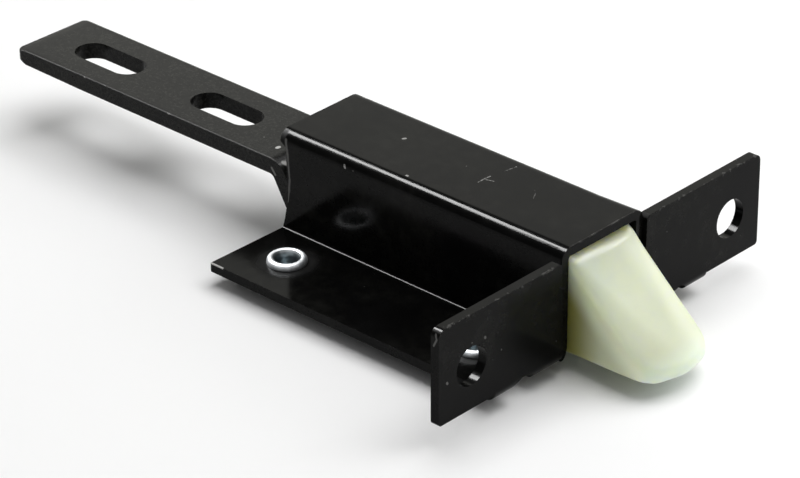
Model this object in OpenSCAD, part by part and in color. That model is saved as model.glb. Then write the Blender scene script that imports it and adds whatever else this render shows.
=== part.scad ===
// Spring-loaded compartment door latch.
// A folded sheet-steel housing with two bolt-down ears carries a nylon
// slam bolt. A flat steel pull bar with two slots draws the bolt back.
// Millimetres. +X points out of the mouth, +Y to the right ear, +Z up.
// Origin: midway between the two ear holes, on the ears' front face.

/* [Sheet] */
// Thickness of the housing sheet
sheet_t = 2.66; // [2.4:0.01:2.9]
// Inside radius of every fold of the housing
bend_r = 0.8; // [0.5:0.1:1.2]

/* [Housing] */
// Outside width of the channel
chan_w = 31.4; // [31.2:0.1:32.5]
// Top of the channel above the ear-hole axis
chan_top = 17.2; // [17:0.1:19]
// Flange top below the ear-hole axis
hole_up = 12.4; // [11.5:0.1:13]
// Width across both flanges
flange_w = 84; // [78:0.5:90]
// Rear edge of the flanges, behind the ear face
flange_rear = 99.7; // [99:0.1:101]
// Front edge of the channel, behind the ear face
chan_front = 1.3; // [0.5:0.1:2]

/* [Ears] */
// Width across both ears
ear_span = 126.4; // [120:0.2:132]
// Height of an ear
ear_h = 27.2; // [24:0.1:29]
// Distance between the ear holes
hole_span = 102.2; // [98:0.2:106]
// Diameter of an ear hole
hole_d = 11.1; // [9:0.1:12]
// Clear gap between an ear and the channel wall
ear_gap = 1.3; // [0.8:0.1:2]
// Inner end of the relief window in an ear's fold, from the middle plane
relief_in = 27.2; // [26.6:0.1:27.8]
// Outer end of the relief window in an ear's fold, from the middle plane
relief_out = 34.8; // [34.4:0.1:35.2]

/* [Rivets] */
// Front rivet row, behind the ear face
rivet_front = 19; // [15:0.5:25]
// Rear rivet row, behind the ear face
rivet_rear = 85.6; // [80:0.2:88]
// Distance between left and right rivets
rivet_span = 57.2; // [54:0.2:60]
// Shank diameter
rivet_d = 6.3; // [5:0.1:6.5]
// Diameter of the rolled end
rivet_roll_d = 11.2; // [10:0.1:12]

/* [Cover] */
// Thickness of the bottom cover
cover_t = 1.9; // [1.5:0.1:2.5]
// Width of the bottom cover
cover_w = 75; // [72:0.5:78]

/* [Pull bar] */
// Width of the flat bar
bar_w = 25.4; // [24.5:0.1:25.5]
// Thickness of the flat bar
bar_t = 4.8; // [4.5:0.1:5]
// Top of the outer run above the ear-hole axis
bar_top = 5.3; // [5:0.1:5.6]
// Rear end of the bar, behind the ear face
bar_rear = 204.6; // [196:0.2:215]
// Centre of the rear slot, behind the ear face
slot_rear = 181; // [178:0.1:184]
// Distance between the slot centres
slot_pitch = 46; // [40:0.1:50]
// Width of a slot
slot_w = 10.3; // [9:0.1:12]
// Length of a slot
slot_l = 24.4; // [20:0.1:28]
// Slope of the step between the outer and the inner run
step_a = 60; // [58:1:62]

/* [Bolt] */
// Width of the bolt
bolt_w = 25.4; // [24.5:0.1:25.5]
// Slope of the nose bevel
bevel_a = 41; // [40:0.5:42]
// How far the nose stands out of the ear face
nose_l = 28; // [26:0.1:29]
// Corner radius of the nose, seen from above
nose_r = 7; // [5:0.1:9]
// Edge radius of the tip, seen from the side
tip_r = 2.6; // [1.5:0.1:3]
// Rear end of the bolt, behind the ear face
tail_x = 55; // [45:0.5:58]

/* [Spring] */
// Outside diameter of the return spring
spring_d = 11; // [10:0.1:11.5]
// Wire diameter
wire_d = 1.3; // [1:0.1:1.5]
// Number of turns
turns = 19; // [15:1:22]

/* [Hidden] */
$fn = 64;
eps = 0.01;
bend_o = bend_r + sheet_t;            // outside radius of a fold
zf = -hole_up;                        // flange top
zb = zf - sheet_t;                    // flange underside
cw = chan_w / 2;
ci = cw - sheet_t;                    // half width inside the channel
ear_in = cw + ear_gap;                // inner edge of an ear
wall_rear = flange_rear - 2.3;        // rear edge of the walls, below the tabs
web_rear = flange_rear - 0.3;         // rear edge of the web
tab_x = flange_rear - 0.3;            // rear face of the spring tabs
tab_lo = zf + 12.2;                   // lower edge of the spring tabs
tab_hi = zf + 24.4;                   // upper edge of the spring tabs
run = 0.36;                           // running gap of the sliding pieces
bar_lo = zb + run;                    // underside of the bar's inner run
bolt_lo = zb + run;
bolt_hi = chan_top - sheet_t - 0.34;
bolt_step = 12;                       // the bar ends under the bolt here
spring_z = (tab_lo + tab_hi) / 2;
pocket_d = spring_d + 1.4;
pocket_x = 20;                        // bottom of the spring pocket
pin_d = 5;
pin_top = spring_z - pocket_d / 2 - 1.2;
pin_x = [22, 40];
rivet_pos = [for (x = [rivet_front, rivet_rear], s = [-1, 1]) [-x, s * rivet_span / 2]];

// ---- shared shapes -------------------------------------------------

// Quarter ring between radii r0 and r1 in one quadrant
module quarter(r0, r1, qx, qy) {
  intersection() {
    difference() { circle(r1); circle(r0); }
    translate([qx < 0 ? -r1 - 1 : 0, qy < 0 ? -r1 - 1 : 0]) square(r1 + 1);
  }
}

// Rectangle with its own radius on each corner
module plate(x0, y0, x1, y1, r = [0, 0, 0, 0]) {
  c = [[x0, y0, 1, 1], [x1, y0, -1, 1], [x1, y1, -1, -1], [x0, y1, 1, -1]];
  difference() {
    translate([x0, y0]) square([x1 - x0, y1 - y0]);
    for (i = [0:3]) if (r[i] > 0)
      difference() {
        translate([c[i][2] > 0 ? c[i][0] - 1 : c[i][0] - r[i],
                   c[i][3] > 0 ? c[i][1] - 1 : c[i][1] - r[i]]) square(r[i] + 1);
        translate([c[i][0] + c[i][2] * r[i], c[i][1] + c[i][3] * r[i]]) circle(r[i]);
      }
  }
}

// A drawing in Y and Z pushed out along X
module along_x(x0, x1) {
  translate([x0, 0, 0]) rotate([90, 0, 90]) linear_extrude(x1 - x0) children();
}

// A drawing in X and Z pushed out along Y
module along_y(y0, y1) {
  translate([0, y1, 0]) rotate([90, 0, 0]) linear_extrude(y1 - y0) children();
}

function arc(c, r, a0, a1, n) =
  [for (i = [0:n]) let (a = a0 + (a1 - a0) * i / n) c + r * [cos(a), sin(a)]];

// ---- housing: one folded sheet ------------------------------------

// Section of the channel and its flanges
module hat() {
  translate([-(cw - bend_o), chan_top - sheet_t]) square([2 * (cw - bend_o), sheet_t]);
  for (s = [-1, 1]) {
    translate([s * (cw - bend_o), chan_top - bend_o]) quarter(bend_r, bend_o, s, 1);
    translate([s > 0 ? ci : -cw, zf + bend_r])
      square([sheet_t, chan_top - bend_o - zf - bend_r]);
    translate([s * (cw + bend_r), zf + bend_r]) quarter(bend_r, bend_o, -s, -1);
    translate([s > 0 ? cw + bend_r : -flange_w / 2, zb])
      square([flange_w / 2 - cw - bend_r, sheet_t]);
  }
}

// Material trimmed off the rear of the web and walls before folding
module rear_trim() {
  along_y(-cw - 0.2, cw + 0.2) polygon([
    [-flange_rear - 9, chan_top + 2], [-web_rear, chan_top + 2],
    [-web_rear, chan_top - 3.2], [-wall_rear, chan_top - 4.6],
    [-wall_rear, zf + 9.2], [-wall_rear - 0.5, zf + 7.4],
    [-wall_rear - 1.0, zf + 5.6], [-wall_rear - 1.5, zf + 3.2],
    [-flange_rear + 0.1, zf + 0.9], [-flange_rear - 9, zf + 0.9]]);
}

// A spring tab: the wall's rear edge folded inwards
module spring_tab(s) {
  translate([0, 0, tab_lo]) linear_extrude(tab_hi - tab_lo) {
    translate([-wall_rear - eps, s > 0 ? ci : -cw])
      square([2, sheet_t]);
    translate([-tab_x + bend_o, s * (cw - bend_o)]) quarter(bend_r, bend_o, -1, s);
    translate([-tab_x + bend_o - eps, s > 0 ? ci : -cw])
      square([wall_rear < tab_x - bend_o ? 0.02 : 0.6, sheet_t]);
    translate([-tab_x, s > 0 ? 1.5 : -(cw - bend_o)])
      square([sheet_t, cw - bend_o - 1.5]);
  }
}

// An ear: the flange's front edge folded up, reaching past the flange
module ear(s) {
  y0 = s > 0 ? ear_in : -ear_span / 2;
  y1 = s > 0 ? ear_span / 2 : -ear_in;
  f0 = s > 0 ? ear_in : -flange_w / 2;
  f1 = s > 0 ? flange_w / 2 : -ear_in;
  along_x(-sheet_t, 0) difference() {
    plate(y0, zf, y1, zf + ear_h,
          s > 0 ? [0, 1, 2.2, 1.2] : [1, 0, 1.2, 2.2]);
    translate([f0, zf - 1]) square([f1 - f0, 1 + bend_r]);
  }
  along_y(f0, f1) {
    translate([-bend_o, zf + bend_r]) quarter(bend_r, bend_o, 1, -1);
    translate([-bend_o - 3, zb]) square([3 + eps, sheet_t]);
  }
}

// Relief window punched in an ear's fold, with an arched edge on the ear
module fold_relief(s) {
  along_x(-bend_o - 2.6, -sheet_t + 0.2)
    plate(min(s * relief_in, s * relief_out), zb - 1,
          max(s * relief_in, s * relief_out), zf + 1.2, [0, 0, 1, 1]);
  along_x(-sheet_t - 0.2, 1) polygon([for (q = [
    [relief_out, -4], [relief_out - 0.3, -1.1], [relief_out - 1.5, -0.2],
    [relief_out - 2.4, 0.4], [relief_out - 3, 0.56], [relief_out - 3.8, 0.36],
    [relief_out - 5.4, -0.17], [relief_in + 0.9, -0.5], [relief_in + 0.2, -1.0],
    [relief_in, -4]]) [s * q[0], zf + q[1]]]);
}

module housing() {
  color([0.09, 0.09, 0.09]) difference() {
    union() {
      difference() {
        along_x(-flange_rear, -chan_front) hat();
        rear_trim();
        // the flanges stop where the ears fold up
        for (s = [-1, 1])
          translate([-bend_o - 2, s > 0 ? ear_in - ear_gap / 2 : -flange_w / 2 - 1, zb - 1])
            cube([10, flange_w / 2 + 1 - ear_in + ear_gap / 2, sheet_t + 1.5]);
      }
      for (s = [-1, 1]) { spring_tab(s); ear(s); }
    }
    for (s = [-1, 1])
      translate([-sheet_t - 1, s * hole_span / 2, 0]) rotate([0, 90, 0])
        cylinder(d = hole_d, h = sheet_t + 2);
    for (s = [-1, 1]) fold_relief(s);
    for (p = rivet_pos)
      translate([p[0], p[1], zb - 1]) cylinder(d = rivet_d + 0.1, h = sheet_t + 2);
  }
}

// ---- bottom cover --------------------------------------------------

module bottom_cover() {
  color([0.1, 0.1, 0.1]) difference() {
    translate([0, 0, zb - cover_t]) linear_extrude(cover_t)
      plate(-flange_rear + 1, -cover_w / 2, -8, cover_w / 2, [3, 3, 3, 3]);
    for (p = rivet_pos)
      translate([p[0], p[1], zb - cover_t - 1]) cylinder(d = rivet_d + 0.1, h = cover_t + 2);
  }
}

// ---- rivets: tubular ends rolled over the flange -------------------

module rivet() {
  roll = (rivet_roll_d - rivet_d) / 4 + 0.03;
  rc = rivet_roll_d / 2 - roll;
  head = zb - cover_t;
  rotate_extrude() difference() {
    union() {
      translate([0, head - 0.5]) square([rivet_d / 2, zf - head + 1.2]);
      intersection() {
        translate([rc, zf + 0.55]) circle(roll);
        translate([rivet_d / 2 - 0.6, zf]) square(10);
      }
      polygon([[0, head - 1.9], [4.1, head - 1.9], [5.3, head - 1.2],
               [5.7, head - 0.5], [5.7, head], [0, head]]);
    }
    translate([-1, zf - 2]) square([1 + rivet_d / 2 - 0.85, 10]);
    polygon([[0, zf - 0.4], [rivet_d / 2 - 0.85, zf - 0.4],
             [rivet_d / 2 + 0.1, zf + 0.9], [rivet_d / 2 + 0.4, zf + 5], [0, zf + 5]]);
  }
}

module flange_rivets() {
  color([0.8, 0.81, 0.83])
    for (p = rivet_pos) translate([p[0], p[1], 0]) rivet();
}

// ---- nylon bolt ----------------------------------------------------

module bolt_side() {
  k = tan(bevel_a);
  z1 = zf + 24.6;                     // the bevel passes here at the mouth
  xt = -chan_front - (bolt_hi - z1) / k;
  c = [nose_l - tip_r, bolt_lo + tip_r];
  // the bevel above the round tip
  xe = nose_l - tip_r + tip_r * sin(bevel_a);
  ze = z1 - k * (xe + chan_front);
  polygon(concat(
    [[-tail_x, bolt_hi], [-tail_x, bar_lo + bar_t + 0.02], [-bolt_step, bar_lo + bar_t + 0.02],
     [-bolt_step, bolt_lo]],
    arc(c, tip_r, -90, 0, 10),
    [[nose_l, max(ze, c[1] + 0.01)], [xt, bolt_hi]]));
}

module bolt_plan() {
  w = bolt_w / 2;
  crown = 12.3;
  intersection() {
    plate(-tail_x, -w, nose_l, w, [1.5, nose_r, nose_r, 1.5]);
    union() {
      translate([nose_l - crown, 0]) circle(crown);
      translate([-tail_x, -w]) square([tail_x + nose_l - nose_r - 1.4, 2 * w]);
      for (s = [-1, 1])
        translate([nose_l - 1.4 - nose_r, s * (w - nose_r)]) circle(nose_r);
      translate([0, -w + nose_r]) square([nose_l - 1.4, 2 * (w - nose_r)]);
    }
  }
}

module latch_bolt() {
  color([0.82, 0.85, 0.74]) difference() {
    intersection() {
      along_y(-bolt_w / 2 - 1, bolt_w / 2 + 1) bolt_side();
      translate([0, 0, -40]) linear_extrude(80) bolt_plan();
    }
    translate([-tail_x - 1, 0, spring_z]) rotate([0, 90, 0])
      cylinder(d = pocket_d, h = tail_x + 1 - pocket_x);
    for (x = pin_x)
      translate([-x, 0, bolt_lo - 1]) cylinder(d = pin_d, h = pin_top - bolt_lo + 1);
  }
}

// ---- dowel pins between the bolt and the bar -----------------------

module bolt_pins() {
  color([0.6, 0.6, 0.62])
    for (x = pin_x)
      translate([-x, 0, bar_lo + 0.2])
        cylinder(d = pin_d - 0.06, h = pin_top - bar_lo - 0.4);
}

// ---- pull bar ------------------------------------------------------

module bar_side() {
  rb = 2;
  x1 = -106.7;                        // the outer run ends here
  c1 = [x1, bar_top - bar_t - rb];
  p1 = c1 + (rb + bar_t) * [cos(90 - step_a), sin(90 - step_a)];
  c2z = bar_lo + bar_t + rb;
  p2z = c2z - rb * cos(step_a);
  p2x = p1[0] + (p1[1] - p2z) / tan(step_a);
  c2 = [p2x + rb * sin(step_a), c2z];
  polygon(concat(
    [[-bar_rear, bar_top]],
    arc(c1, rb + bar_t, 90, 90 - step_a, 10),
    arc(c2, rb, 270 - step_a, 270, 8),
    [[-bolt_step - 0.3, bar_lo + bar_t], [-bolt_step - 0.3, bar_lo]],
    arc(c2, rb + bar_t, 270, 270 - step_a, 10),
    arc(c1, rb, 90 - step_a, 90, 8),
    [[-bar_rear, bar_top - bar_t]]));
}

module pull_bar() {
  color([0.12, 0.12, 0.12]) difference() {
    intersection() {
      along_y(-bar_w / 2, bar_w / 2) bar_side();
      translate([0, 0, -40]) linear_extrude(80)
        plate(-bar_rear, -bar_w / 2, 0, bar_w / 2, [1.6, 0, 0, 1.6]);
    }
    for (x = [slot_rear, slot_rear - slot_pitch])
      translate([-x, 0, bar_top - bar_t - 1]) {
        for (s = [-1, 1]) translate([s * (slot_l - slot_w) / 2, 0, 0])
          cylinder(d = slot_w, h = bar_t + 2);
        translate([-(slot_l - slot_w) / 2, -slot_w / 2, 0])
          cube([slot_l - slot_w, slot_w, bar_t + 2]);
      }
    for (x = pin_x)
      translate([-x, 0, bar_lo - 1]) cylinder(d = pin_d, h = bar_t + 2);
  }
}

// ---- return spring: closed ends, one swept wire --------------------

spring_x0 = -pocket_x - 0.15 - wire_d / 2;
spring_x1 = -tab_x + sheet_t + 0.15 + wire_d / 2;
close_n = 1.5;                        // closed turns at each end
close_p = wire_d * 1.1;
open_p = ((spring_x0 - spring_x1) - 2 * close_n * close_p) / (turns - 2 * close_n);
seg = 14;                             // rings for each turn
sides = 6;

// Distance along the axis after u turns
function travel(u) =
  u < close_n ? u * close_p
  : u < turns - close_n ? close_n * close_p + (u - close_n) * open_p
  : spring_x0 - spring_x1 - (turns - u) * close_p;

function ring(u) = let (a = 360 * u, m = (spring_d - wire_d) / 2)
  [for (j = [0:sides - 1]) let (b = 360 * j / sides, q = m + wire_d / 2 * cos(b))
    [spring_x0 - travel(u) - wire_d / 2 * sin(b), q * sin(a), spring_z + q * cos(a)]];

module return_spring() {
  n = turns * seg;
  pts = [for (i = [0:n]) each ring(i / seg)];
  color([0.55, 0.55, 0.56]) polyhedron(pts, concat(
    [[for (j = [0:sides - 1]) j]],
    [for (i = [0:n - 1], j = [0:sides - 1]) let (k = (j + 1) % sides)
      [i * sides + j, (i + 1) * sides + j, (i + 1) * sides + k, i * sides + k]],
    [[for (j = [sides - 1:-1:0]) n * sides + j]]));
}

housing();
bottom_cover();
flange_rivets();
latch_bolt();
bolt_pins();
pull_bar();
return_spring();
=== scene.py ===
"""Looks of a spring-loaded compartment door latch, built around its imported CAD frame.

Metres. +X points out of the mouth, +Y to the right ear, +Z up.
"""

import math

import bmesh  # noqa: E402
import bpy  # noqa: E402
import numpy as np  # noqa: E402
from mathutils import Matrix, Vector  # noqa: E402


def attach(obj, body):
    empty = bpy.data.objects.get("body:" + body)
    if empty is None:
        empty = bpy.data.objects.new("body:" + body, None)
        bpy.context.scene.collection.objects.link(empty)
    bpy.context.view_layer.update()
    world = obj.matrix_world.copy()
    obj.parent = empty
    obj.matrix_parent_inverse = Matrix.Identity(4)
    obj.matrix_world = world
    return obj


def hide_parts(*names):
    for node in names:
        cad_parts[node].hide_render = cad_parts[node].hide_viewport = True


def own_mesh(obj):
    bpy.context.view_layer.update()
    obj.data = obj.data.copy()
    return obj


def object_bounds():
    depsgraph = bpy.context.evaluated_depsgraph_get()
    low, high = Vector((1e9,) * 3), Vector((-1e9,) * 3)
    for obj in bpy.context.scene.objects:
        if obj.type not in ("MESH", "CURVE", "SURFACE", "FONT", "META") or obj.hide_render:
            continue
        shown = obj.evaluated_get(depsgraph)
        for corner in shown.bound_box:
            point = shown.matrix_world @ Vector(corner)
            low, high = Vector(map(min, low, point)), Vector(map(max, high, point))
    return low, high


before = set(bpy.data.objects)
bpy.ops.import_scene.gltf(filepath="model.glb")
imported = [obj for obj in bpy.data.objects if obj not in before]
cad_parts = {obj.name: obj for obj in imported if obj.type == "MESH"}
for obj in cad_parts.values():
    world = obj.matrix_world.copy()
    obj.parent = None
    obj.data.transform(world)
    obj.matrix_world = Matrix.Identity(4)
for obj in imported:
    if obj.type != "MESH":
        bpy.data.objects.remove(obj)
cad_lo, cad_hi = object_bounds()
MM = 0.001
scene = bpy.context.scene


# ---------------------------------------------------------------- node help
class Tree:
    """Short-hand for building a material's node tree."""

    def __init__(self, name):
        self.mat = bpy.data.materials.new(name)
        self.mat.use_nodes = True
        self.nt = self.mat.node_tree
        self.nt.nodes.clear()
        self.out = self.nt.nodes.new("ShaderNodeOutputMaterial")
        self.bsdf = self.nt.nodes.new("ShaderNodeBsdfPrincipled")
        self.nt.links.new(self.bsdf.outputs["BSDF"], self.out.inputs["Surface"])
        self.pos = self.nt.nodes.new("ShaderNodeTexCoord").outputs["Object"]
        self._xyz = None

    def put(self, socket, value):
        if isinstance(value, bpy.types.NodeSocket):
            self.nt.links.new(value, socket)
        else:
            socket.default_value = value

    def math(self, op, a, b=0.0, c=0.0, clamp=False):
        n = self.nt.nodes.new("ShaderNodeMath")
        n.operation = op
        n.use_clamp = clamp
        for i, v in enumerate((a, b, c)):
            self.put(n.inputs[i], v)
        return n.outputs[0]

    def vec(self, op, a, b=None, scale=None):
        n = self.nt.nodes.new("ShaderNodeVectorMath")
        n.operation = op
        self.put(n.inputs[0], a)
        if b is not None:
            self.put(n.inputs[1], b)
        if scale is not None:
            self.put(n.inputs["Scale"], scale)
        return n.outputs["Value"] if op in ("DOT_PRODUCT", "LENGTH", "DISTANCE") else n.outputs[0]

    def xyz(self):
        if self._xyz is None:
            n = self.nt.nodes.new("ShaderNodeSeparateXYZ")
            self.nt.links.new(self.pos, n.inputs[0])
            self._xyz = n.outputs
        return self._xyz

    def ramp(self, value, lo, hi, a=0.0, b=1.0, smooth=True):
        n = self.nt.nodes.new("ShaderNodeMapRange")
        n.interpolation_type = "SMOOTHSTEP" if smooth else "LINEAR"
        self.put(n.inputs["Value"], value)
        n.inputs["From Min"].default_value = lo
        n.inputs["From Max"].default_value = hi
        n.inputs["To Min"].default_value = a
        n.inputs["To Max"].default_value = b
        return n.outputs["Result"]

    def noise(self, scale, detail=2.0, rough=0.5, stretch=None, offset=None):
        p = self.pos
        if stretch or offset:
            m = self.nt.nodes.new("ShaderNodeMapping")
            self.nt.links.new(p, m.inputs["Vector"])
            if stretch:
                m.inputs["Scale"].default_value = stretch
            if offset:
                m.inputs["Location"].default_value = offset
            p = m.outputs[0]
        n = self.nt.nodes.new("ShaderNodeTexNoise")
        self.nt.links.new(p, n.inputs["Vector"])
        n.inputs["Scale"].default_value = scale
        n.inputs["Detail"].default_value = detail
        n.inputs["Roughness"].default_value = rough
        return n.outputs["Fac"]

    def specks(self, scale, size, keep):
        """Sparse round specks: the share `keep` of cells carry one, `size` is its radius in cells."""
        v = self.nt.nodes.new("ShaderNodeTexVoronoi")
        self.nt.links.new(self.pos, v.inputs["Vector"])
        v.inputs["Scale"].default_value = scale
        s = self.nt.nodes.new("ShaderNodeSeparateColor")
        self.nt.links.new(v.outputs["Color"], s.inputs[0])
        near = self.ramp(v.outputs["Distance"], size * 0.5, size, 1.0, 0.0)
        some = self.ramp(s.outputs[0], 1.0 - keep, 1.0 - keep * 0.9)
        return self.math("MULTIPLY", near, some)

    def segment(self, a, b, w, wobble=None):
        """A scratch from a to b (millimetres), w millimetres wide."""
        a, b = Vector(a) * MM, Vector(b) * MM
        ab = b - a
        rel = self.vec("SUBTRACT", self.pos, tuple(a))
        h = self.math("ADD", self.vec("DOT_PRODUCT", rel, tuple(ab / ab.length_squared)), 0.0, clamp=True)
        d = self.vec("LENGTH", self.vec("SUBTRACT", rel, self.vec("SCALE", tuple(ab), scale=h)))
        if wobble is not None:
            d = self.math("MULTIPLY_ADD", wobble, w * MM * 1.2, d)
        return self.ramp(d, w * MM * 0.45, w * MM * 0.95, 1.0, 0.0)

    def most(self, *masks):
        m = masks[0]
        for k in masks[1:]:
            m = self.math("MAXIMUM", m, k)
        return m

    def mix(self, fac, a, b):
        n = self.nt.nodes.new("ShaderNodeMix")
        n.data_type = "RGBA"
        self.put(n.inputs["Factor"], fac)
        self.put(n.inputs["A"], a if isinstance(a, bpy.types.NodeSocket) else (*a, 1.0))
        self.put(n.inputs["B"], b if isinstance(b, bpy.types.NodeSocket) else (*b, 1.0))
        return n.outputs["Result"]

    def bump(self, height, distance, strength=1.0, normal=None):
        n = self.nt.nodes.new("ShaderNodeBump")
        n.inputs["Strength"].default_value = strength
        n.inputs["Distance"].default_value = distance
        self.put(n.inputs["Height"], height)
        if normal is not None:
            self.put(n.inputs["Normal"], normal)
        return n.outputs["Normal"]

    def set(self, **kw):
        for k, v in kw.items():
            self.put(self.bsdf.inputs[k.replace("_", " ")], v)


# ---------------------------------------------------------------- materials
def edge_line(t, u, u0, v, v0):
    """Distance from the line u = u0, v = v0 in millimetres, u and v being two axes' sockets."""
    du = t.math("SUBTRACT", u, u0 * MM)
    dv = t.math("SUBTRACT", v, v0 * MM)
    return t.math("SQRT", t.math("ADD", t.math("MULTIPLY", du, du), t.math("MULTIPLY", dv, dv)))


def rivet_distance(t):
    """Distance from the nearest rivet's axis."""
    x, y, z = t.xyz()
    dx = t.math("SUBTRACT", t.math("PINGPONG", t.math("ADD", x, 52.3 * MM), 33.3 * MM), 33.3 * MM)
    dy = t.math("SUBTRACT", t.math("ABSOLUTE", y), 28.1 * MM)
    return t.math("SQRT", t.math("ADD", t.math("MULTIPLY", dx, dx), t.math("MULTIPLY", dy, dy)))


def black_paint(name, wear_and_highlights, gloss=(0.12, 0.2), level=0.053, scuffed=None, grain=0.0):
    """Black paint over steel. The second argument gives the mask of light spots, which are bare paint and painted
    highlights; scuffed(t) gives that of dull ones.
    """
    t = Tree(name)
    cloud = t.noise(38.0, 3.0, 0.55)
    peel = t.noise(520.0, 2.0, 0.5)
    fine = t.noise(3600.0, 2.0, 0.6)
    bare_and_highlights = wear_and_highlights(t)
    dust = t.specks(165.0, 0.045, 0.16)
    haze = t.math("MULTIPLY", t.ramp(t.noise(240.0, 6.0, 0.7), 0.4, 0.72), t.ramp(cloud, 0.3, 0.65))
    base = t.mix(t.ramp(cloud, 0.35, 0.7), (0.0022, 0.0022, 0.0022), (0.0042, 0.0042, 0.0038))
    base = t.mix(haze, base, (0.009, 0.009, 0.008))
    if grain:
        base = t.mix(t.ramp(t.noise(1250.0, 3.0, 0.6), 0.42, 0.68, 0.0, grain), base, (0.1, 0.1, 0.088))
    base = t.mix(t.math("MULTIPLY", dust, 0.3), base, (0.3, 0.3, 0.29))
    base = t.mix(bare_and_highlights, base, (0.5, 0.495, 0.48))
    t.set(Base_Color=base)
    rough = t.ramp(t.noise(90.0, 4.0, 0.6), 0.3, 0.75, *gloss)
    rough = t.math("MULTIPLY_ADD", t.math("MAXIMUM", bare_and_highlights, dust), 0.4, rough)
    if scuffed:
        rough = t.math("MULTIPLY_ADD", scuffed(t), 0.4, rough)
    t.set(Roughness=rough)
    t.bsdf.inputs["Specular IOR Level"].default_value = level
    t.bsdf.inputs["IOR"].default_value = 1.5
    n = t.bump(peel, 0.014 * MM, 1.0)
    n = t.bump(fine, 0.0022 * MM, 1.0, n)
    n = t.bump(t.math("SUBTRACT", 1.0, bare_and_highlights), 0.03 * MM, 0.6, n)
    t.set(Normal=n)
    return t.mat


# bare, rubbed paint on the bar, and painted glints at its step
def bar_wear_and_glints(t):
    x, y, z = t.xyz()
    chip = t.noise(420.0, 4.0, 0.62, stretch=(0.55, 1.0, 1.0))
    band = t.noise(45.0, 2.0, 0.5)
    ay = t.math("ABSOLUTE", y)
    top = edge_line(t, ay, 12.65, z, 5.25)
    end = edge_line(t, x, -204.5, z, 5.25)
    d = t.math("MINIMUM", top, end)
    # a thin rubbed line with a few deeper nicks
    thin = t.math("MULTIPLY", t.ramp(d, 0.1 * MM, 0.32 * MM, 0.06, 0.0), t.ramp(band, 0.4, 0.6, 0.3, 1.0))
    reach = t.ramp(chip, 0.6, 0.76)
    nick = t.ramp(t.math("MULTIPLY_ADD", reach, -0.62 * MM, d), -0.2 * MM, -0.06 * MM, 0.7, 0.0)
    # light spots painted where the step passes the rear of the channel, standing in for the glints on its bend
    k = t.most(
        t.segment((-108.9, -7.25, 5.3), (-108.9, -6.65, 5.3), 0.8),
        t.segment((-103.3, -10.9, 3.9), (-102.7, -10.2, 3.7), 1.0),
    )
    # a painted glint down the bar's side below the step
    painted_side_glint = t.segment((-105.8, -12.7, 2.4), (-104.5, -12.7, 0.8), 0.5)
    return t.most(thin, nick, t.math("MULTIPLY", k, 0.9), t.math("MULTIPLY", painted_side_glint, 0.3))


# bare, worn paint on the housing, with painted highlights and a painted reflection at a few edges
def housing_wear_and_highlights(t):
    x, y, z = t.xyz()
    chip = t.noise(520.0, 4.0, 0.62)
    wob = t.noise(900.0, 2.0, 0.5)
    ay = t.math("ABSOLUTE", y)
    # front edge of the web
    front = edge_line(t, x, -1.42, z, 17.1)
    front = t.ramp(t.math("MULTIPLY_ADD", t.ramp(chip, 0.45, 0.7), -0.3 * MM, front), -0.08 * MM, 0.2 * MM, 0.11, 0.0)
    front = t.math("MULTIPLY", front, t.ramp(ay, 12.0 * MM, 13.0 * MM, 1.0, 0.0))
    # upper edges of the ears
    ear = edge_line(t, x, -0.1, z, 14.7)
    ear = t.ramp(t.math("MULTIPLY_ADD", t.ramp(chip, 0.46, 0.72), -0.75 * MM, ear), -0.3 * MM, 0.1 * MM, 0.1, 0.0)
    ear = t.math("MULTIPLY", ear, t.ramp(ay, 19.5 * MM, 21.0 * MM))
    marks = t.most(
        t.segment((-41.2, -2.4, 17.2), (-41.3, -0.1, 17.2), 0.62, wob),
        t.segment((-41.3, -0.1, 17.2), (-41.1, 2.3, 17.2), 0.5, wob),
        t.segment((-40.8, 0.1, 17.2), (-38.6, 0.8, 17.2), 0.55, wob),
        t.segment((-40.2, 6.9, 17.2), (-39.5, 10.7, 17.2), 0.5, wob),
        t.segment((-71.9, 2.6, 17.2), (-71.7, 3.0, 17.2), 0.6),
        t.segment((-57.4, -12.0, 17.2), (-57.1, -12.0, 17.2), 0.5),
        t.segment((-76.3, -15.7, 14.9), (-76.0, -15.7, 14.3), 0.5),
    )
    faint = t.most(
        t.segment((-27.6, 4.3, 17.2), (-26.4, 3.2, 17.2), 0.5, wob),
        t.segment((-26.4, 3.2, 17.2), (-24.9, 0.6, 17.2), 0.42, wob),
        t.segment((0.0, -46.2, 6.1), (0.0, -46.0, 5.8), 0.5),
        t.segment((0.0, -60.2, -0.9), (0.0, -60.0, -1.2), 0.5),
        # painted reflection: a light line down the near wall's rear edge, where its bend catches a grazing reflection
        t.segment((-97.5, -15.6, 15.0), (-96.9, -15.7, 10.7), 0.55),
        t.segment((-96.9, -15.7, 10.7), (-96.5, -15.7, 3.3), 0.52),
        t.segment((-96.5, -15.6, 3.3), (-96.9, -15.4, -0.5), 0.55),
        t.segment((-96.9, -15.4, -0.5), (-97.6, -15.2, -3.8), 0.42),
        # painted highlight: a light curve on the left ear's upper end corner
        t.segment((-1.5, -63.1, 14.4), (-0.7, -63.1, 12.4), 0.4),
        t.segment((-0.7, -63.1, 12.4), (-1.7, -63.1, 10.3), 0.4),
    )
    # painted highlight: a light line on the rear end of the left flange's outer top edge
    flange_edge_highlight = t.segment((-100.2, -42.0, -12.4), (-95.9, -42.0, -12.4), 0.5)
    return t.most(front, ear, t.math("MULTIPLY", marks, 0.6), t.math("MULTIPLY", faint, 0.2), flange_edge_highlight)


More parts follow.
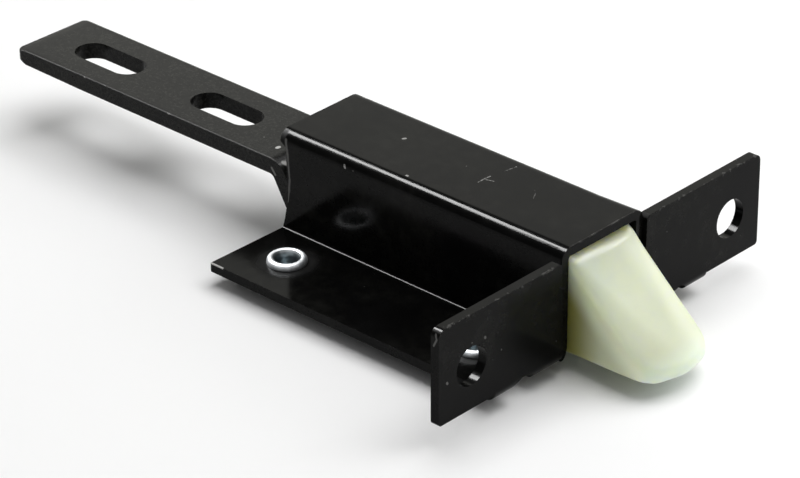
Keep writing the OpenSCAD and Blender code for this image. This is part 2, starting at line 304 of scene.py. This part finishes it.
def housing_scuffs(t):
    """Dressed upper corners of the ears, the rubbed rear ends of the channel's bends, and dull paint round the rivets."""
    x, y, z = t.xyz()
    ears = t.most(
        t.segment((-2.7, 16.7, 14.8), (0.0, 16.7, 14.8), 1.2),
        t.segment((-2.7, -63.2, 14.8), (0.0, -63.2, 14.8), 1.2),
    )
    bend = t.math("MULTIPLY", t.ramp(x, -98.1 * MM, -97.5 * MM, 1.0, 0.0), t.ramp(z, 13.0 * MM, 15.0 * MM))
    bend = t.math("MULTIPLY", bend, t.ramp(t.math("ABSOLUTE", y), 13.2 * MM, 14.2 * MM))
    rings = t.math("MULTIPLY", t.ramp(rivet_distance(t), 6.2 * MM, 10.5 * MM, 0.5, 0.0), t.ramp(z, -11.6 * MM, -11.2 * MM, 1.0, 0.0))
    return t.most(t.math("MULTIPLY", ears, 1.6), bend, rings)


def bar_scuffs(t):
    """The upper edges, rubbed dull."""
    x, y, z = t.xyz()
    d = edge_line(t, t.math("ABSOLUTE", y), 12.65, z, 5.25)
    return t.ramp(d, 0.25 * MM, 0.6 * MM, 0.6, 0.0)


def plain_wear(t):
    chip = t.noise(260.0, 5.0, 0.65)
    return t.ramp(chip, 0.78, 0.82, 0.0, 0.6)


def zinc():
    t = Tree("zinc_plate")
    x, y, z = t.xyz()
    cloud = t.noise(700.0, 3.0, 0.6)
    base = t.mix(t.ramp(cloud, 0.3, 0.7), (0.22, 0.23, 0.237), (0.3, 0.308, 0.312))
    # darker inside the hollow end
    rad = rivet_distance(t)
    inside = t.math("MULTIPLY", t.ramp(rad, 3.3 * MM, 4.0 * MM, 1.0, 0.0), t.ramp(z, -16.0 * MM, -15.6 * MM))
    base = t.mix(inside, base, (0.085, 0.099, 0.105))
    t.set(Base_Color=base)
    t.set(Roughness=t.ramp(inside, 0.0, 1.0, 0.45, 0.32))
    t.bsdf.inputs["Metallic"].default_value = 1.0
    t.set(Normal=t.bump(cloud, 0.006 * MM))
    return t.mat


def nylon():
    t = Tree("natural_nylon")
    x, y, z = t.xyz()
    cloud = t.noise(70.0, 3.0, 0.5)
    flow = t.noise(26.0, 2.0, 0.5, stretch=(1.0, 2.2, 0.8), offset=(0.3, 0.1, 0.7))
    base = t.mix(t.ramp(cloud, 0.3, 0.7), (0.6, 0.65, 0.49), (0.64, 0.68, 0.525))
    base = t.mix(t.ramp(flow, 0.42, 0.75, 0.0, 0.4), base, (0.62, 0.635, 0.43))
    # painted light and shade: the bevel darker next to the mouth and towards the left, lighter towards the right; the
    # strip under the mouth and the tip painted paler, as if lit
    high = t.math("MULTIPLY", t.ramp(z, 11.2 * MM, 12.6 * MM), t.ramp(x, -1.2 * MM, 0.2 * MM, 1.0, 0.0))
    base = t.mix(t.ramp(x, -1.0 * MM, 10.0 * MM, 0.6, 0.0), base, (0.46, 0.5, 0.38))
    shade = t.math("MULTIPLY", t.ramp(y, -11.0 * MM, 3.0 * MM, 0.5, 0.0), t.ramp(x, 5.0 * MM, 15.0 * MM, 1.0, 0.1))
    base = t.mix(shade, base, (0.49, 0.55, 0.42))
    base = t.mix(t.ramp(y, 2.0 * MM, 9.0 * MM, 0.0, 0.5), base, (0.75, 0.785, 0.645))
    base = t.mix(t.math("MULTIPLY", high, 0.9), base, (0.86, 0.89, 0.66))
    tip = t.math("MULTIPLY", t.ramp(z, -12.5 * MM, -6.5 * MM, 1.0, 0.0), t.ramp(x, 15.0 * MM, 22.0 * MM))
    base = t.mix(t.math("MULTIPLY", tip, 0.9), base, (0.78, 0.88, 0.78))
    # painted shade on the flanks: darker and olive next to the mouth and away from the bevel, with a paler painted
    # glow along the bevel's edge
    depth = t.math("SUBTRACT", t.math("MULTIPLY_ADD", x, -0.869, 11.1 * MM), z)
    flank = t.mix(t.ramp(x, -1.0 * MM, 11.0 * MM, 1.0, 0.0), (0.70, 0.745, 0.53), (0.31, 0.3, 0.085))
    flank = t.mix(t.ramp(depth, 0.0, 9.0 * MM, 0.9, 0.0), flank, (0.6, 0.655, 0.5))
    pale = t.math("MULTIPLY", t.ramp(depth, 4.0 * MM, 12.0 * MM, 1.0, 0.0), t.ramp(depth, 0.0, 3.5 * MM, 0.5, 1.0))
    pale = t.math("MULTIPLY", pale, t.ramp(x, 1.0 * MM, 8.0 * MM, 0.5, 1.0))
    pale = t.math("MULTIPLY", pale, t.ramp(y, -2.0 * MM, 2.0 * MM, 1.0, 0.0))
    flank = t.mix(pale, flank, (0.89, 0.97, 0.755))
    base = t.mix(t.ramp(t.math("ABSOLUTE", y), 10.6 * MM, 12.4 * MM), base, flank)
    # painted shade: the right edge of the bolt darker
    base = t.mix(t.ramp(y, 10.4 * MM, 12.2 * MM, 0.0, 0.4), base, (0.47, 0.52, 0.37))
    speck = t.specks(95.0, 0.05, 0.1)
    base = t.mix(t.math("MULTIPLY", speck, 0.25), base, (0.3, 0.3, 0.2))
    spot = t.segment((12.8, -1.8, -0.05), (13.0, -1.7, -0.25), 0.62)
    base = t.mix(spot, base, (0.25, 0.24, 0.17))
    t.set(Subsurface_Weight=t.ramp(spot, 0.0, 1.0, 1.0, 0.1))
    t.set(Base_Color=base)
    t.set(Roughness=t.ramp(t.noise(140.0, 3.0, 0.5), 0.3, 0.7, 0.285, 0.34))
    t.bsdf.inputs["IOR"].default_value = 1.53
    t.bsdf.inputs["Specular IOR Level"].default_value = 0.3
    t.bsdf.inputs["Subsurface Radius"].default_value = (1.0, 0.95, 0.4)
    t.bsdf.inputs["Subsurface Scale"].default_value = 0.005
    n = t.bump(t.noise(180.0, 2.0, 0.5), 0.05 * MM)
    n = t.bump(t.noise(2600.0, 2.0, 0.5), 0.004 * MM, 1.0, n)
    t.set(Normal=n)
    return t.mat


def bright_steel():
    t = Tree("bright_steel")
    rings = t.noise(900.0, 2.0, 0.5, stretch=(0.2, 0.2, 3.0))
    t.set(Base_Color=t.mix(rings, (0.48, 0.48, 0.49), (0.66, 0.66, 0.67)))
    t.set(Roughness=t.ramp(rings, 0.3, 0.7, 0.22, 0.38))
    t.bsdf.inputs["Metallic"].default_value = 1.0
    t.set(Normal=t.bump(rings, 0.006 * MM))
    return t.mat


def spring_steel():
    t = Tree("spring_steel")
    cloud = t.noise(500.0, 3.0, 0.6)
    t.set(Base_Color=t.mix(t.ramp(cloud, 0.3, 0.7), (0.30, 0.30, 0.31), (0.50, 0.50, 0.50)))
    t.set(Roughness=t.ramp(cloud, 0.3, 0.7, 0.26, 0.42))
    t.bsdf.inputs["Metallic"].default_value = 1.0
    t.set(Normal=t.bump(t.noise(2400.0, 2.0, 0.5), 0.006 * MM))
    return t.mat


M_HOUSING = black_paint("black_paint_housing", housing_wear_and_highlights, scuffed=housing_scuffs)
M_BAR = black_paint("black_paint_bar", bar_wear_and_glints, (0.2, 0.262), 0.082, bar_scuffs, 0.14)
M_COVER = black_paint("black_paint_cover", plain_wear)
M_ZINC = zinc()
M_NYLON = nylon()
M_STEEL = bright_steel()
M_SPRING = spring_steel()


# ---------------------------------------------------------------- meshes
def add(name, mesh, mat, body, slot, *nodes):
    o = bpy.data.objects.new(name, mesh)
    scene.collection.objects.link(o)
    mesh.materials.clear()
    mesh.materials.append(mat)
    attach(o, body)
    if nodes:
        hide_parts(*nodes)
    return o


def weighted(o, weight=100):
    m = o.modifiers.new("even_normals", "WEIGHTED_NORMAL")
    m.mode = "FACE_AREA"
    m.weight = weight
    m.keep_sharp = True
    return o


def eased(node, name, width, cuts=(), shape=None, keep=None, segments=3):
    """A copy of a CAD node's mesh with its sharp edges rounded over, as sheared and painted metal has them.

    cuts are planes (axis, millimetres) through the holes, which keep every flat face free of holes.
    keep(point) is true where an edge stays crisp, and shape(point) moves the finished points.
    """
    bm = bmesh.new()
    bm.from_mesh(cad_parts[node].data)
    bmesh.ops.remove_doubles(bm, verts=bm.verts, dist=2e-6)
    for axis, at in cuts:
        co, no = Vector((0, 0, 0)), Vector((0, 0, 0))
        co[axis], no[axis] = at * MM, 1.0
        geom = bm.verts[:] + bm.edges[:] + bm.faces[:]
        res = bmesh.ops.bisect_plane(bm, geom=geom, dist=2e-6, plane_co=co, plane_no=no)
        for g in res["geom_cut"]:
            if isinstance(g, bmesh.types.BMEdge):
                g.seam = True
    bmesh.ops.dissolve_limit(
        bm, angle_limit=math.radians(0.4), verts=bm.verts, edges=bm.edges, delimit={"SEAM"})
    bm.normal_update()
    sharp = [e for e in bm.edges if len(e.link_faces) == 2 and e.calc_face_angle(0) > math.radians(32)]
    if keep:
        sharp = [e for e in sharp if not all(keep(v.co / MM) for v in e.verts)]
    bmesh.ops.bevel(
        bm, geom=sharp, offset=width * MM, offset_type="OFFSET", segments=segments,
        profile=0.5, affect="EDGES", clamp_overlap=True, loop_slide=True,
    )
    bmesh.ops.remove_doubles(bm, verts=bm.verts, dist=1e-6)
    for e in bm.edges:
        e.seam = False
    for f in bm.faces:
        f.smooth = True
    bm.normal_update()
    for e in bm.edges:
        e.smooth = len(e.link_faces) != 2 or e.calc_face_angle(0) < math.radians(40)
    if shape:
        for v in bm.verts:
            v.co = shape(v.co)
    mesh = bpy.data.meshes.new(name)
    bm.to_mesh(mesh)
    bm.free()
    return mesh


def grid_faces(rows, cols, closed_rows=False, closed_cols=True):
    """Quads of a rows x cols grid of points."""
    faces = []
    for i in range(rows if closed_rows else rows - 1):
        for j in range(cols if closed_cols else cols - 1):
            a, b = i * cols + j, i * cols + (j + 1) % cols
            c, d = ((i + 1) % rows) * cols + (j + 1) % cols, ((i + 1) % rows) * cols + j
            faces.append((a, b, c, d))
    return faces


def from_points(name, verts, faces, smooth=True):
    mesh = bpy.data.meshes.new(name)
    mesh.from_pydata([tuple(v) for v in verts], [], faces)
    bm = bmesh.new()
    bm.from_mesh(mesh)
    bmesh.ops.recalc_face_normals(bm, faces=bm.faces)
    for f in bm.faces:
        f.smooth = smooth
    bm.to_mesh(mesh)
    bm.free()
    mesh.update()
    return mesh


def clamp01(v):
    return min(max(v, 0.0), 1.0)


def sheared_end(co):
    """The bar's rear end: sheared a little out of square, its left corner rounded and knocked in above and below."""
    x, y, z = co / MM
    rad, xe = 1.5, -204.6
    near = clamp01(1.0 - math.hypot(x - xe, y + 12.7) / 3.4)
    ox, oy = x - (xe + rad), y - (-12.7 + rad)
    far = math.hypot(ox, oy)
    if ox < 0 and oy < 0 and far > rad:
        x, y = xe + rad + ox * rad / far, -12.7 + rad + oy * rad / far
    z += near * (1.7 * clamp01((2.7 - z) / 2.2) - 0.9 * clamp01((z - 3.4) / 1.9))
    return Vector((x - 1.25 * clamp01((-197.0 - x) / 7.6) * (0.5 - y / 25.4), y, z)) * MM


def slot_edge(p):
    return abs(p.y) < 5.4 and -194.0 < p.x < -122.0


def folded(co):
    """The folded sheet has sprung: the walls lean in towards the flanges and flare a little at the mouth."""
    x, y, z = co / MM
    side, ay = math.copysign(1.0, y), abs(y)
    lean = 0.95 * clamp01((15.0 - z) / 27.4) ** 1.5
    lean *= clamp01((ay - 13.3) / 2.2) * clamp01((42.0 - ay) / 26.0)
    if y > 0:
        lean -= 0.55 * clamp01((x + 14.0) / 12.0) * clamp01((ay - 10.0) / 3.0) * clamp01((16.3 - ay) / 0.5)
        if x > -3.4 and ay > 16.2:
            lean += 0.6 * clamp01((40.0 - ay) / 23.0)
    if x < -88.0 and z < -9.0:
        x -= 0.5 * clamp01((-88.0 - x) / 11.7) * clamp01((ay - 16.0) / 26.0)
    return Vector((x, side * (ay - lean), z)) * MM


# housing, cover and bar: the CAD shapes with eased edges
X, Y, Z = 0, 1, 2
weighted(add("housing_sheet", eased("housing", "housing_sheet", 0.22, [(X, -19.0), (X, -85.6), (Y, 51.1), (Y, -51.1)] +
                                    [(Z, v) for v in (-8.0, -4.0, 0.0, 4.0, 8.0, 12.0)] + [(X, v) for v in (-14.0, -8.0, -4.0)],
                                    folded),
             M_HOUSING, "frame", "black_paint", "housing"))
weighted(add("cover_plate", eased("bottom_cover", "cover_plate", 0.25, [(X, -19.0), (X, -85.6)]),
             M_COVER, "frame", "black_paint", "bottom_cover"))
weighted(add("slotted_bar", eased("pull_bar", "slotted_bar", 0.2, [(X, -181.0), (X, -135.0), (X, -40.0), (X, -22.0), (X, -201.8)] +
                                  [(X, -203.2), (Y, -11.7), (Y, -10.6), (Z, 1.6), (Z, 2.7), (Z, 3.6)], sheared_end, slot_edge),
             M_BAR, "bolt_carriage", "black_paint", "pull_bar"))
weighted(add("dowel_pins", eased("bolt_pins", "dowel_pins", 0.3), M_STEEL, "bolt_carriage", "bright_steel", "bolt_pins"))


# rivets: turned profile with a rolled-over end, a hollow shank and a low head
def rivet_profile():
    """Radius and height in millimetres, from the bottom of the bore over the roll and down to the head."""
    zf, zc = -12.4, -16.96
    pts = [(0.0, -2.6), (1.4, -2.6), (2.1, -2.5), (2.55, -2.2), (2.78, -1.7), (2.88, -1.1), (2.96, -0.5),
           (3.08, 0.1), (3.28, 0.65), (3.55, 1.1), (3.82, 1.42)]
    # the roll: a round ring whose edge comes down to the flange
    for a in np.linspace(118, 3, 22):
        c, d = math.cos(math.radians(a)), math.sin(math.radians(a))
        pts.append((4.45 + (1.08 if c > 0 else 1.3) * c, 0.12 + 1.62 * d))
    pts += [(5.53, 0.06), (5.48, 0.01), (5.3, 0.0)]
    pts = [(r, zf + z) for r, z in pts]
    pts += [(3.15, zf + 0.01), (3.15, zc - 0.005), (5.62, zc - 0.005)]
    pts += [(5.7, zc - 0.1), (5.7, zc - 0.45), (5.62, zc - 0.7), (5.35, zc - 1.1), (4.9, zc - 1.45)]
    pts += [(4.2, zc - 1.72), (3.2, zc - 1.86), (1.6, zc - 1.9), (0.0, zc - 1.9)]
    return pts


def rivets():
    prof = rivet_profile()
    n = 72
    verts, faces = [], []
    for k, (cx, cy) in enumerate(((-19.0, -28.1), (-19.0, 28.1), (-85.6, -28.1), (-85.6, 28.1))):
        base = len(verts)
        rows = []
        for i, (r, z) in enumerate(prof):
            row = []
            if r < 1e-6:
                verts.append(((cx) * MM, cy * MM, z * MM))
                row = [len(verts) - 1] * n
            else:
                for j in range(n):
                    a = 2 * math.pi * j / n
                    # the roll is hammered over, so its rim is a little uneven
                    f = 1.0
                    if 8 < i < 35:
                        f += 0.006 * math.sin(2 * a + 1.7 * k) + 0.003 * math.sin(5 * a + 0.9 + k)
                    verts.append(((cx + r * f * math.cos(a)) * MM, (cy + r * f * math.sin(a)) * MM, z * MM))
                    row.append(len(verts) - 1)
            rows.append(row)
        for i in range(len(rows) - 1):
            for j in range(n):
                q = [rows[i][j], rows[i][(j + 1) % n], rows[i + 1][(j + 1) % n], rows[i + 1][j]]
                q = list(dict.fromkeys(q))
                if len(q) > 2:
                    faces.append(q)
        assert base >= 0
    return from_points("rolled_rivets", verts, faces)


weighted(add("rolled_rivets", rivets(), M_ZINC, "frame", "zinc_plate", "flange_rivets"), 40)


# return spring: round wire with closed ends, built at rest; the real spring shortens as the bolt is drawn back
def spring():
    wire, dia, turns = 1.3, 10.98, 19.0
    x0, x1, zc = -20.0 - 0.15 - 0.65, -99.4 + 2.66 + 0.15 + 0.65, 5.9
    close_n, close_p = 1.5, 1.3 * 1.1
    open_p = ((x0 - x1) - 2 * close_n * close_p) / (turns - 2 * close_n)

    def travel(u):
        if u < close_n:
            return u * close_p
        if u < turns - close_n:
            return close_n * close_p + (u - close_n) * open_p
        return x0 - x1 - (turns - u) * close_p

    seg, sides = 36, 12
    m = (dia - wire) / 2
    rows = int(turns * seg) + 1
    verts = []
    for i in range(rows):
        u = i / seg
        a = 2 * math.pi * u
        for j in range(sides):
            b = 2 * math.pi * j / sides
            # the wire's end is cut and slightly rounded
            s = 0.8 if i in (0, rows - 1) else 1.0
            q = m + wire / 2 * s * math.cos(b)
            verts.append(((x0 - travel(u) - wire / 2 * s * math.sin(b)) * MM, q * math.sin(a) * MM, (zc + q * math.cos(a)) * MM))
    faces = grid_faces(rows, sides)
    faces.append(tuple(range(sides)))
    faces.append(tuple(range((rows - 1) * sides, rows * sides)))
    return from_points("coil_spring", verts, faces)


coil = add("coil_spring", spring(), M_SPRING, "frame", "spring_steel", "return_spring")


# latch bolt: moulded nose with soft edges, tail with spring pocket and a step over the bar
def ball(c, r, rings=9, n=20):
    pts = []
    for i in range(rings):
        t = math.pi * (i + 0.5) / rings
        for j in range(n):
            a = 2 * math.pi * (j + 0.5 * (i % 2)) / n
            pts.append((c[0] + r * math.sin(t) * math.cos(a), c[1] + r * math.sin(t) * math.sin(a), c[2] + r * math.cos(t)))
    pts += [(c[0], c[1], c[2] + r), (c[0], c[1], c[2] - r)]
    return pts


def nose_points():
    zb, b, r, rc = -14.7, 12.7, 1.69, 7.03
    lx, ang, zm, bulge = 26.56, math.radians(40.98), 12.22, 1.43
    sa, ca = math.sin(ang), math.cos(ang)

    def under_bevel(x, rad):
        return max(zm + (-rad - sa * (x + 1.3)) / ca, zb + rad)

    pts = []
    for s in (-1, 1):
        # the right edges are less worn than the left ones
        rt, rv = (2.5, 2.9) if s < 0 else (1.6, 2.3)
        pts += ball((-12.0, s * (b - r), zb + r), r)
        for k in range(9):
            al = math.radians(90 * k / 8)
            x = lx - rc + (rc - rv) * math.cos(al)
            y = s * ((b - rc) + (rc - rv) * math.sin(al))
            pts += ball((x, y, zb + rv), rv)
            # along the flank the bevel's edge is tighter than round the tip
            re = rv - (rv - 1.9) * k / 8 if s < 0 else rv
            x = lx - rc + (rc - re) * math.cos(al)
            y = s * ((b - rc) + (rc - re) * math.sin(al))
            pts += ball((x, y, under_bevel(x, re)), re)
        pts += ball((-4.0, s * (b - rt), under_bevel(-4.0, rt)), rt)
        pts += ball((-12.0, s * (b - rt), 14.2 - rt), rt)
        pts += ball((-54.0, s * (b - 1.0), 14.2 - 1.0), 1.0)
        pts += ball((-54.0, s * (b - 1.0), zb + 1.0), 1.0)
    rv = 2.9
    # the tip is crowned
    for k in range(-6, 7):
        y = (b - rc) * k / 6
        x = lx - rv + bulge * (1 - (k / 6) ** 2)
        pts += ball((x, y, zb + rv), rv)
    return pts


def sunk_top(bm):
    """The moulding's top has sunk between its side edges, which leaves a soft ridge across the upper bevel.

    The bolt lies against the right of its channel, by the play that it has there.
    """
    bm.normal_update()
    for v in bm.verts:
        x, y, z = v.co / MM
        if v.normal.z > 0.2 and -7.0 < x < 4.5 and z > 3:
            side = clamp01((11.3 - abs(y)) / 2.4)
            side = side * side * (3 - 2 * side)
            back = clamp01((x + 7.0) / 2.5)
            ridge = -0.2 + 0.2 * math.sin(0.42 * y + 0.6)
            w = 0.6
            drop = (0.24 + 0.16 * clamp01((y + 8.0) / 14.0)) * w * math.log1p(math.exp(min((ridge - x) / w, 40.0)))
            bead = (0.03 + 0.09 * math.exp(-(((y - 7.0) / 2.6) ** 2))) * math.exp(-(((x - ridge) / 0.9) ** 2))
            lip = 0.45 * clamp01((y - 8.0) / 3.0) * math.exp(-(((x + 1.2) / 1.8) ** 2))
            v.co.z += ((bead - drop * back) * side + lip) * MM
        v.co.y += (0.3 + 0.2 * clamp01((x - 14.0) / 12.0)) * MM


def bolt_body():
    bm = bmesh.new()
    for p in nose_points():
        bm.verts.new(Vector(p) * MM)
    res = bmesh.ops.convex_hull(bm, input=bm.verts)
    spare = {g for g in res["geom_interior"] + res["geom_unused"] if isinstance(g, bmesh.types.BMVert)}
    bmesh.ops.delete(bm, geom=list(spare), context="VERTS")
    bmesh.ops.recalc_face_normals(bm, faces=bm.faces)
    mesh = bpy.data.meshes.new("nylon_bolt")
    bm.to_mesh(mesh)
    bm.free()
    return mesh


def cutter(name, verts, faces):
    o = bpy.data.objects.new(name, from_points(name, verts, faces, smooth=False))
    scene.collection.objects.link(o)
    return o


def cyl_cutter(name, c0, axis, length, r, n=64):
    u = Vector(axis).normalized()
    e1 = u.orthogonal().normalized()
    e2 = u.cross(e1)
    verts = []
    for s in (0.0, length):
        for j in range(n):
            a = 2 * math.pi * j / n
            verts.append((Vector(c0) + u * s + e1 * r * math.cos(a) + e2 * r * math.sin(a)) * MM)
    faces = [(j, (j + 1) % n, n + (j + 1) % n, n + j) for j in range(n)]
    faces += [tuple(range(n)), tuple(range(n, 2 * n))]
    return cutter(name, verts, faces)


def baked(o, name):
    mesh = bpy.data.meshes.new_from_object(o.evaluated_get(bpy.context.evaluated_depsgraph_get()))
    mesh.name = name
    return mesh


def bolt():
    hull = bpy.data.objects.new("nylon_hull", bolt_body())
    scene.collection.objects.link(hull)
    m = hull.modifiers.new("skin", "REMESH")
    m.mode = "VOXEL"
    m.voxel_size = 0.5 * MM
    m = hull.modifiers.new("soften", "SMOOTH")
    m.factor, m.iterations = 0.5, 8
    skin = baked(hull, "nylon_skin")
    bm = bmesh.new()
    bm.from_mesh(skin)
    sunk_top(bm)
    bm.to_mesh(skin)
    bm.free()
    body = bpy.data.objects.new("nylon_body", skin)
    scene.collection.objects.link(body)
    step = [(x * MM, y * MM, z * MM) for x in (-70.0, -12.0) for y in (-20.0, 20.0) for z in (-20.0, -9.88)]
    cuts = [
        cutter("cut_step", step, [(0, 1, 3, 2), (4, 5, 7, 6), (0, 1, 5, 4), (2, 3, 7, 6), (0, 2, 6, 4), (1, 3, 7, 5)]),
        cyl_cutter("cut_pocket", (-80.0, 0.0, 5.9), (1, 0, 0), 60.0, 6.2),
        cyl_cutter("cut_pin_a", (-22.0, 0.0, -20.0), (0, 0, 1), 18.5, 2.5, 40),
        cyl_cutter("cut_pin_b", (-40.0, 0.0, -20.0), (0, 0, 1), 18.5, 2.5, 40),
    ]
    for c in cuts:
        m = body.modifiers.new(c.name, "BOOLEAN")
        m.operation = "DIFFERENCE"
        m.solver = "EXACT"
        m.object = c
    mesh = baked(body, "nylon_bolt")
    for o in [hull, body, *cuts]:
        bpy.data.objects.remove(o)
    bm = bmesh.new()
    bm.from_mesh(mesh)
    bmesh.ops.remove_doubles(bm, verts=bm.verts, dist=1e-6)
    bmesh.ops.triangulate(bm, faces=[f for f in bm.faces if len(f.verts) > 4])
    for f in bm.faces:
        f.smooth = True
    bm.normal_update()
    for e in bm.edges:
        e.smooth = len(e.link_faces) != 2 or e.calc_face_angle(0) < math.radians(40)
    bm.to_mesh(mesh)
    bm.free()
    return mesh


add("nylon_bolt", bolt(), M_NYLON, "bolt_carriage", "natural_nylon", "latch_bolt")

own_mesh(coil)


# ---------------------------------------------------------------- stage
def area(name, loc, target, sx, sy, watts, glossy_only=False, colour=(1, 1, 1)):
    l = bpy.data.lights.new(name, "AREA")
    l.shape = "RECTANGLE"
    l.size, l.size_y = sx, sy
    l.energy = watts
    l.color = colour
    o = bpy.data.objects.new(name, l)
    scene.collection.objects.link(o)
    o.location = loc
    o.rotation_mode = "QUATERNION"
    o.rotation_quaternion = (Vector(target) - Vector(loc)).to_track_quat("-Z", "Y")
    if glossy_only:
        o.visible_diffuse = False
    return o


floor_z = cad_lo.z - 0.00002
floor_mesh = bpy.data.meshes.new("floor")
floor_mesh.from_pydata([(-4, -4, floor_z), (4, -4, floor_z), (4, 4, floor_z), (-4, 4, floor_z)], [], [(0, 1, 2, 3)])
floor = bpy.data.objects.new("floor", floor_mesh)
scene.collection.objects.link(floor)
ft = Tree("floor_white")
ft.bsdf.inputs["Base Color"].default_value = (0.93, 0.93, 0.93, 1)
ft.bsdf.inputs["Roughness"].default_value = 0.9
ft.bsdf.inputs["Specular IOR Level"].default_value = 0.0
floor_mesh.materials.append(ft.mat)

world = bpy.data.worlds.new("studio")
scene.world = world
world.use_nodes = True
wn = world.node_tree
bg = wn.nodes["Background"]
bg.inputs["Color"].default_value = (1.0, 1.0, 1.0, 1.0)
bg.inputs["Strength"].default_value = 0.2

mid = (-0.06, 0.0, 0.0)
area("softbox_top", (0.05, 0.42, 1.2), mid, 1.3, 1.3, 17.0)
area("panel_back", (-1.15, 0.95, 0.62), mid, 1.5, 0.9, 4.7, colour=(1.0, 1.0, 0.93))
area("fill_front_right", (0.95, 0.6, 0.75), mid, 0.9, 0.9, 2.5)
area("rim_right", (0.3, 1.1, 0.42), (0.0, 0.0, 0.0), 0.7, 0.7, 3.5)
area("gloss_front", (0.75, -1.15, 0.6), mid, 1.1, 0.8, 4.0, glossy_only=True)
area("gloss_left", (-0.12, -1.4, 0.55), mid, 0.8, 0.7, 2.6, glossy_only=True)
area("gloss_right", (1.4, 0.1, 0.62), mid, 0.9, 0.8, 3.2, glossy_only=True)
area("spot_ridge", (0.12, 0.77, 0.91), (0.0, 0.0, 0.0), 0.26, 0.26, 4.2, glossy_only=True)
area("spot_edge", (0.05, -0.3, 1.15), (0.0, 0.0, 0.0), 0.16, 0.16, 13.0, glossy_only=True)
area("strip_back_left", (-0.62, -0.1, 0.86), mid, 0.36, 1.1, 105.0, glossy_only=True)

cam_data = bpy.data.cameras.new("camera")
cam_data.sensor_fit = "HORIZONTAL"
cam_data.sensor_width = 36.0
cam_data.lens = 36.0 * 4066.9 / 800.0
cam_data.clip_start, cam_data.clip_end = 0.05, 20.0
cam = bpy.data.objects.new("camera", cam_data)
scene.collection.objects.link(cam)
fwd = Vector((-0.5923, 0.6439, -0.4844)).normalized()
roll = math.radians(-0.18)
cam.rotation_mode = "QUATERNION"
cam.rotation_quaternion = fwd.to_track_quat("-Z", "Y") @ Matrix.Rotation(roll, 3, "Z").to_quaternion()
cam.location = (0.57086, -0.69763, 0.51327)
scene.camera = cam

scene.view_settings.view_transform = "Standard"
scene.view_settings.look = "None"
